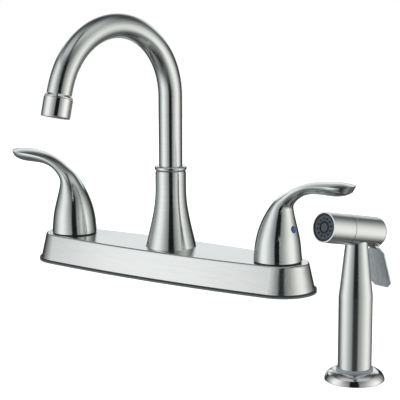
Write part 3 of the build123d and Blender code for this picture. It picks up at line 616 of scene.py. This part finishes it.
merge_distance = 0.000001
wire_sides = 10
ring_steps = 72
coil_steps = 26
thread_steps = 48


def clear_selection():
    """Nothing selected, so that the next operator takes only its own piece."""
    bpy.ops.object.select_all(action="DESELECT")


def settle(piece, name, body, slot_name, place=None, smooth=40.0):
    """Lays a piece at its place in the frame, names it, and gives it its body, slot and the slot's finish."""
    clear_selection()
    piece.select_set(True)
    bpy.context.view_layer.objects.active = piece
    if place is not None:
        piece.matrix_world = place @ piece.matrix_world
    bpy.ops.object.transform_apply(location=True, rotation=True, scale=True)
    if smooth:
        bpy.ops.object.shade_smooth_by_angle(angle=math.radians(smooth))
    piece.name = name
    piece.data.name = name
    piece.data.materials.clear()
    piece.data.materials.append(finishes[slot_name])
    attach(piece, body)


def copied(first, places):
    """A piece at the first of several places, and copies of it with their own meshes at the others."""
    pieces = [first]
    for _ in places[1:]:
        piece = first.copy()
        piece.data = first.data.copy()
        bpy.context.collection.objects.link(piece)
        pieces.append(piece)
    for piece, place in zip(pieces, places):
        piece.matrix_world = place
    return pieces


def joined(pieces):
    """Several pieces as one, the first."""
    clear_selection()
    for piece in pieces:
        piece.select_set(True)
    bpy.context.view_layer.objects.active = pieces[0]
    if len(pieces) > 1:
        bpy.ops.object.join()
    return pieces[0]


def place_along(origin, way):
    """Place whose Z runs along a direction."""
    return Matrix.Translation(origin) @ way.to_track_quat("Z", "Y").to_matrix().to_4x4()


def wire_section(radius, wire, height, sides):
    """Section of a wire, upright over the X axis at a radius from Z and at a height."""
    clear_selection()
    bpy.ops.mesh.primitive_circle_add(
        vertices=sides, radius=wire, location=(radius, 0.0, height), rotation=(math.pi / 2, 0.0, 0.0)
    )
    bpy.ops.object.transform_apply(location=True, rotation=True, scale=True)
    return bpy.context.object


def close_mesh():
    """Joins the active piece's doubled corners, closes its open ends and turns its faces outwards."""
    bpy.ops.object.mode_set(mode="EDIT")
    bpy.ops.mesh.select_all(action="SELECT")
    bpy.ops.mesh.remove_doubles(threshold=merge_distance)
    bpy.ops.mesh.fill_holes(sides=0)
    bpy.ops.mesh.normals_make_consistent(inside=False)
    bpy.ops.object.mode_set(mode="OBJECT")


def wire_ring(radius, wire, height=0.0):
    """Closed ring of round wire, spun from its section."""
    piece = wire_section(radius, wire, height, wire_sides)
    bpy.ops.object.mode_set(mode="EDIT")
    bpy.ops.mesh.select_all(action="SELECT")
    bpy.ops.mesh.spin(steps=ring_steps, angle=2 * math.pi, center=(0.0, 0.0, 0.0), axis=(0.0, 0.0, 1.0))
    bpy.ops.object.mode_set(mode="OBJECT")
    close_mesh()
    return piece


def coil(radius, wire, length, turns, sides=wire_sides, steps=coil_steps):
    """Coil along Z from zero, wound from its wire's section, with its ends closed."""
    piece = wire_section(radius, wire, wire, sides)
    wind = piece.modifiers.new("wind", "SCREW")
    wind.axis = "Z"
    wind.screw_offset = (length - 2 * wire) / turns
    wind.iterations = turns
    wind.steps = steps
    wind.render_steps = steps
    wind.use_normal_calculate = True
    bpy.ops.object.modifier_apply(modifier="wind")
    close_mesh()
    return piece


def valve_spring_coil():
    """Coil that shuts the sprayer's valve, between the stem's guide and the valve's disc."""
    behind_middle = 0.00785
    seat = head_middle - behind_middle * head_way
    piece = coil(radius=0.0030, wire=0.00055, length=0.0072, turns=6)
    settle(piece, "valve_spring_coil", "handset", "spring_steel", place_along(seat, head_way))
    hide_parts("valve_spring")
    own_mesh(piece)


def diverter_spring_coil():
    """Coil over the poppet's stem."""
    foot = Vector((0.0, 0.0, 0.01225))
    piece = coil(radius=0.0032, wire=0.00045, length=0.0052, turns=4)
    settle(piece, "diverter_spring_coil", "deck_set", "spring_steel", Matrix.Translation(foot))
    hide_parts("diverter_spring")
    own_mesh(piece)


def aerator_screen():
    """Woven wire screen over the flow straightener, cut round."""
    width = 0.0178
    radius = 0.0086
    meshes_across = 18
    wire = 0.00028
    down_from_tube = 0.01606
    clear_selection()
    bpy.ops.mesh.primitive_grid_add(x_subdivisions=meshes_across, y_subdivisions=meshes_across, size=width)
    piece = bpy.context.object
    bpy.ops.object.mode_set(mode="EDIT")
    bpy.ops.mesh.select_all(action="DESELECT")
    bpy.ops.mesh.select_mode(type="VERT")
    bpy.ops.object.mode_set(mode="OBJECT")
    for corner in piece.data.vertices:
        corner.select = corner.co.length > radius
    bpy.ops.object.mode_set(mode="EDIT")
    bpy.ops.mesh.delete(type="VERT")
    bpy.ops.object.mode_set(mode="OBJECT")
    wires = piece.modifiers.new("wires", "WIREFRAME")
    wires.thickness = wire
    wires.use_boundary = True
    bpy.ops.object.modifier_apply(modifier="wires")
    place = place_along(outlet_end + down_from_tube * outlet_way.normalized(), outlet_way)
    settle(piece, "aerator_screen", "spout", "spring_steel", place, smooth=0)


def nozzle_nub():
    """One soft nozzle: a small tapered collar round the hole of the disc, its foot sunk in the disc."""
    sides = 20
    radius = 0.00064
    height = 0.0004
    foot = 0.00004
    taper = 0.82
    wall = 0.00015
    bore_depth = 0.0003
    faces_up = 0.9
    clear_selection()
    bpy.ops.mesh.primitive_cylinder_add(
        vertices=sides, radius=radius, depth=height + foot, location=(0.0, 0.0, (height - foot) / 2)
    )
    piece = bpy.context.object
    bpy.ops.object.transform_apply(location=True, rotation=True, scale=True)
    for face in piece.data.polygons:
        face.select = face.normal.z > faces_up
    for part in (*piece.data.vertices, *piece.data.edges):
        part.select = False
    bpy.ops.object.mode_set(mode="EDIT")
    bpy.ops.mesh.select_mode(type="FACE")
    bpy.ops.transform.resize(value=(taper, taper, 1.0), center_override=(0.0, 0.0, height))
    bpy.ops.mesh.inset(thickness=wall)
    bpy.ops.mesh.extrude_region_move(TRANSFORM_OT_translate={"value": (0.0, 0.0, -bore_depth)})
    bpy.ops.object.mode_set(mode="OBJECT")
    return piece


def nozzle_nubs():
    """The ring of nozzles round the disc."""
    out = Matrix.Translation((nozzle_circle, 0.0, face_front))
    step = 2 * math.pi / nozzle_count
    places = [Matrix.Rotation((index + 0.5) * step, 4, "Z") @ out for index in range(nozzle_count)]
    piece = joined(copied(nozzle_nub(), places))
    upright = Matrix.Translation(head_middle) @ head_frame.to_4x4()
    settle(piece, "nozzle_nubs", "handset", "seal_rubber", upright)


def face_rim_shade_ring():
    """Ring of near-black seal rubber in the step round the nozzle disc, standing in for the shade in that
    step.
    """
    below_front = 0.00022
    piece = wire_ring(radius=0.008265, wire=0.00016, height=face_front - below_front)
    settle(piece, "face_rim_shade_ring", "handset", "seal_rubber", place_along(head_middle, head_way))


def solder_rings():
    """Bright ring of solder where each copper tube enters the post or a valve body."""
    tube_height = 0.0125
    post_side = 0.0130
    body_reach = 0.0155
    valve_side = hub_x - body_reach
    lengthwise = Matrix.Rotation(math.pi / 2, 4, "Y")
    places = [
        Matrix.Translation((x, 0.0, tube_height)) @ lengthwise
        for x in (-valve_side, -post_side, post_side, valve_side)
    ]
    piece = joined(copied(wire_ring(radius=0.0050, wire=0.0006), places))
    settle(piece, "solder_rings", "deck_set", "nut_zinc")


def thread_ridges(name, slot_name, radius, depth, pitch, axes, stretches):
    """Screw thread as a sharp ridge wound round each upright shank, between the heights of each stretch.

    The ridge's section is a diamond whose middle lies inside the shank, so that less than half stands out."""
    sunk_share = 0.4
    ridges = []
    for low, high in stretches:
        turns = round((high - low - 2 * depth) / pitch)
        ridge = coil(radius - sunk_share * depth, depth, high - low, turns, sides=4, steps=thread_steps)
        ridges += copied(ridge, [Matrix.Translation((x, y, low)) for x, y in axes])
    settle(joined(ridges), name, "deck_set", slot_name)


valve_spring_coil()
diverter_spring_coil()
aerator_screen()
nozzle_nubs()
face_rim_shade_ring()
solder_rings()
thread_ridges(
    "supply_shank_threads",
    "brass",
    radius=0.0103,
    depth=0.0007,
    pitch=0.0018,
    axes=((-hub_x, 0.0), (hub_x, 0.0)),
    stretches=shank_stretches,
)
thread_ridges(
    "holder_shank_threads",
    "brushed_nickel",
    radius=0.0135,
    depth=0.0007,
    pitch=0.0018,
    axes=((sprayer.x, sprayer.y),),
    stretches=shank_stretches,
)
thread_ridges(
    "outlet_threads",
    "brass",
    radius=0.0065,
    depth=0.0005,
    pitch=0.0012,
    axes=((0.0, 0.0),),
    stretches=nipple_stretches,
)


# Studio


def side_boxes(tree, direction):
    """Light by bearing from the camera: a dark slot in front, a tall soft box on each side, a dim back.

    Returns the light, the bearing's share of a half turn, and the direction's parts towards the camera,
    to its right and up."""
    split = add_node(tree, "ShaderNodeSeparateXYZ")
    turn = add_node(tree, "ShaderNodeMapping")
    turn.inputs["Rotation"].default_value = (0.0, 0.0, math.radians(90.0 - camera_azimuth))
    tree.links.new(direction, turn.inputs["Vector"])
    tree.links.new(turn.outputs["Vector"], split.inputs["Vector"])
    bearing = math_node(tree, "ARCTAN2", split.outputs["Y"], split.outputs["X"])
    share = math_node(tree, "DIVIDE", math_node(tree, "ABSOLUTE", bearing), math.pi)
    boxes = add_node(tree, "ShaderNodeValToRGB")
    # Share of a half turn from the camera, and the light there
    stops = (
        (0.0, 0.0),
        (0.066, 0.0),
        (0.08, 0.15),
        (0.094, 0.31),
        (0.16, 0.43),
        (0.23, 0.64),
        (0.31, 0.90),
        (0.37, 1.0),
        (0.44, 0.98),
        (0.52, 0.66),
        (0.59, 0.40),
        (0.65, 0.26),
        (0.71, 0.12),
        (0.76, 0.03),
        (1.0, 0.0),
    )
    ramp = boxes.color_ramp
    ramp.interpolation = "LINEAR"
    for index, (position, value) in enumerate(stops):
        stop = ramp.elements[index] if index < 2 else ramp.elements.new(position)
        stop.position = position
        stop.color = (value, value, value, 1.0)
    tree.links.new(share, boxes.inputs["Fac"])
    return boxes.outputs["Color"], share, split.outputs["X"], split.outputs["Y"], split.outputs["Z"]


def tent_finish():
    """Light of the tent: two soft boxes beside the camera's slot, and a pale back above the sink deck."""
    material = bpy.data.materials.new("light_tent")
    material.use_nodes = True
    tree = material.node_tree
    tree.nodes.clear()
    place = add_node(tree, "ShaderNodeTexCoord").outputs["Object"]
    boxes, share, _, right, height = side_boxes(tree, place)

    # Back: pale above the deck, wider and dimmer towards the top
    back_start = remap(tree, height, (0.15, 0.60), (0.87, 0.70))
    back_full = math_node(tree, "ADD", back_start, 0.10)
    back = remap(tree, share, (back_start, back_full), (0.0, 0.86))
    above = remap(tree, height, (0.11, 0.19))
    below_top = remap(tree, height, (0.50, 1.00), (1.0, 0.16))
    back_glow = math_node(tree, "MULTIPLY", math_node(tree, "MULTIPLY", back, above), below_top)

    # Soft boxes: they fade towards the top, least on the left, and towards the foot
    top_end = remap(tree, right, (-0.95, -0.45), (0.85, 0.5))
    top_fade = remap(tree, height, (0.10, 0.95), (1.0, top_end), smooth=False)
    foot_fade = remap(tree, height, (-0.95, -0.26), (0.28, 1.0), smooth=False)
    front_glow = math_node(tree, "MULTIPLY", boxes, math_node(tree, "MULTIPLY", top_fade, foot_fade))

    # Least light, low down and on the back
    low_glow = remap(tree, height, (-0.75, -0.08), (0.13, 0.008), smooth=False)
    back_panel = remap(tree, share, (0.86, 0.93), (0.0, 0.34))
    dim_glow = math_node(tree, "MAXIMUM", low_glow, back_panel)
    glow = math_node(tree, "MAXIMUM", math_node(tree, "MAXIMUM", front_glow, back_glow), dim_glow)

    # Tint: cool on the left and on the back, warm on the right, less red where the boxes are dim
    warm_side = remap(tree, right, (-0.6, 0.6))
    sides = mix_colors(tree, warm_side, (0.985, 1.0, 1.005), (1.01, 1.0, 0.97))
    bright = remap(tree, front_glow, (0.20, 0.90))
    dim_sides = mix_colors(tree, 1.0, sides, (0.955, 1.0, 1.0), blend="MULTIPLY")
    shaded = mix_colors(tree, bright, dim_sides, sides)
    tint = mix_colors(tree, back_glow, shaded, (0.97, 1.0, 1.02))

    emission = add_node(tree, "ShaderNodeEmission")
    tree.links.new(tint, emission.inputs["Color"])
    tree.links.new(math_node(tree, "MULTIPLY", glow, tent_strength), emission.inputs["Strength"])
    output = add_node(tree, "ShaderNodeOutputMaterial")
    tree.links.new(emission.outputs[0], output.inputs["Surface"])
    return material


def light_tent():
    """Round tent about the object that only lights it and shows in its metal."""
    clear_selection()
    bpy.ops.mesh.primitive_cylinder_add(
        vertices=stage_sides,
        radius=tent_radius,
        depth=tent_height,
        end_fill_type="NOTHING",
        location=tent_middle,
    )
    tent = bpy.context.object
    tent.name = "light_tent"
    tent.data.materials.append(tent_finish())
    tent.visible_camera = False
    tent.visible_shadow = False


def pale_floor():
    """Sink deck: a plain pale floor inside the tent that keeps the shadow."""
    clear_selection()
    bpy.ops.mesh.primitive_circle_add(
        vertices=stage_sides, radius=floor_radius, fill_type="NGON", location=tent_middle
    )
    floor = bpy.context.object
    floor.name = "pale_floor"
    material = bpy.data.materials.new("pale_floor")
    material.use_nodes = True
    tree = material.node_tree
    shader = tree.nodes["Principled BSDF"]
    shader.inputs["Base Color"].default_value = (0.62, 0.62, 0.62, 1.0)
    shader.inputs["Roughness"].default_value = 0.9
    shader.inputs["Emission Color"].default_value = (1.0, 1.0, 1.0, 1.0)
    rays = add_node(tree, "ShaderNodeLightPath")
    seen = math_node(
        tree,
        "MAXIMUM",
        rays.outputs["Is Camera Ray"],
        math_node(tree, "MAXIMUM", rays.outputs["Is Glossy Ray"], rays.outputs["Is Transmission Ray"]),
    )
    tree.links.new(math_node(tree, "MULTIPLY", seen, floor_glow), shader.inputs["Emission Strength"])
    floor.data.materials.append(material)
    floor.visible_glossy = False


def studio_world():
    """White where the camera sees it, a ceiling over dim walls in reflections, plain where it only lights."""
    world = bpy.data.worlds.new("studio")
    bpy.context.scene.world = world
    world.use_nodes = True
    tree = world.node_tree
    tree.nodes.clear()
    rays = add_node(tree, "ShaderNodeLightPath")
    boxes, share, near, right, height = side_boxes(
        tree, add_node(tree, "ShaderNodeTexCoord").outputs["Generated"]
    )

    # Walls: what shows over and under the tent
    walls = math_node(tree, "MULTIPLY", boxes, remap(tree, height, (-0.3, 0.4), (0.28, 0.56)))
    behind = remap(tree, share, (0.58, 0.80), (0.05, 0.08))

    # Ceiling: brighter towards the camera and the sides, with the dark slot going on over the middle
    middle = remap(tree, near, (-0.50, 0.30), (0.04, 0.50))
    aside = math_node(tree, "ABSOLUTE", right)
    wide = math_node(tree, "MULTIPLY_ADD", aside, 0.4, middle)
    slot_end = remap(tree, near, (-0.05, 0.22), (1.0, 0.0))
    slot = math_node(tree, "MAXIMUM", remap(tree, aside, (0.02, 0.15), (0.16, 1.0)), slot_end)
    overhead = math_node(tree, "MULTIPLY", wide, slot)
    rise = remap(tree, height, (0.70, 0.92))
    ceiling = add_node(tree, "ShaderNodeMix", data_type="FLOAT")
    tree.links.new(rise, ceiling.inputs["Factor"])
    tree.links.new(math_node(tree, "MAXIMUM", walls, behind), ceiling.inputs["A"])
    tree.links.new(overhead, ceiling.inputs["B"])

    glossy = mix_colors(tree, rays.outputs["Is Glossy Ray"], (0.55, 0.55, 0.55), (0.96, 1.0, 0.995))
    plain = add_node(tree, "ShaderNodeBackground")
    tree.links.new(glossy, plain.inputs["Color"])
    level = math_node(
        tree,
        "ADD",
        math_node(tree, "MULTIPLY", rays.outputs["Is Glossy Ray"], ceiling.outputs["Result"]),
        math_node(tree, "SUBTRACT", 1.0, rays.outputs["Is Glossy Ray"]),
    )
    tree.links.new(level, plain.inputs["Strength"])
    white = add_node(tree, "ShaderNodeBackground")
    white.inputs["Color"].default_value = (1.0, 1.0, 1.0, 1.0)
    seen = math_node(tree, "MAXIMUM", rays.outputs["Is Camera Ray"], rays.outputs["Is Transmission Ray"])
    mix = add_node(tree, "ShaderNodeMixShader")
    tree.links.new(seen, mix.inputs["Fac"])
    tree.links.new(plain.outputs[0], mix.inputs[1])
    tree.links.new(white.outputs[0], mix.inputs[2])
    output = add_node(tree, "ShaderNodeOutputWorld")
    tree.links.new(mix.outputs[0], output.inputs["Surface"])


def soft_lamp(name, place, power):
    """Square lamp that lights plastic, rubber and the floor, but leaves the metal to the tent."""
    bpy.ops.object.light_add(type="AREA", location=place)
    lamp = bpy.context.object
    lamp.name = name
    lamp.data.size = lamp_size
    lamp.data.energy = power
    lamp.rotation_euler = (lamp_aim - Vector(place)).to_track_quat("-Z", "Y").to_euler()
    lamp.visible_glossy = False


def photo_camera():
    """Camera at the photograph's place and angle."""
    bpy.ops.object.camera_add(location=camera_place)
    camera = bpy.context.object
    azimuth = math.radians(camera_azimuth)
    elevation = math.radians(camera_elevation)
    view = Vector(
        (
            -math.sin(azimuth) * math.cos(elevation),
            math.cos(azimuth) * math.cos(elevation),
            -math.sin(elevation),
        )
    )
    turn = view.to_track_quat("-Z", "Y").to_matrix() @ Matrix.Rotation(math.radians(camera_roll), 3, "Z")
    camera.rotation_euler = turn.to_euler()
    camera.data.sensor_width = 36.0
    camera.data.lens = camera_lens
    camera.data.clip_start = 0.05
    camera.data.clip_end = 20.0
    bpy.context.scene.camera = camera


studio_world()
light_tent()
pale_floor()
soft_lamp("key", place=(-0.5, -0.7, 1.2), power=9.0)
soft_lamp("fill", place=(0.9, -0.1, 1.1), power=5.0)
photo_camera()
bpy.context.scene.view_settings.view_transform = "Standard"
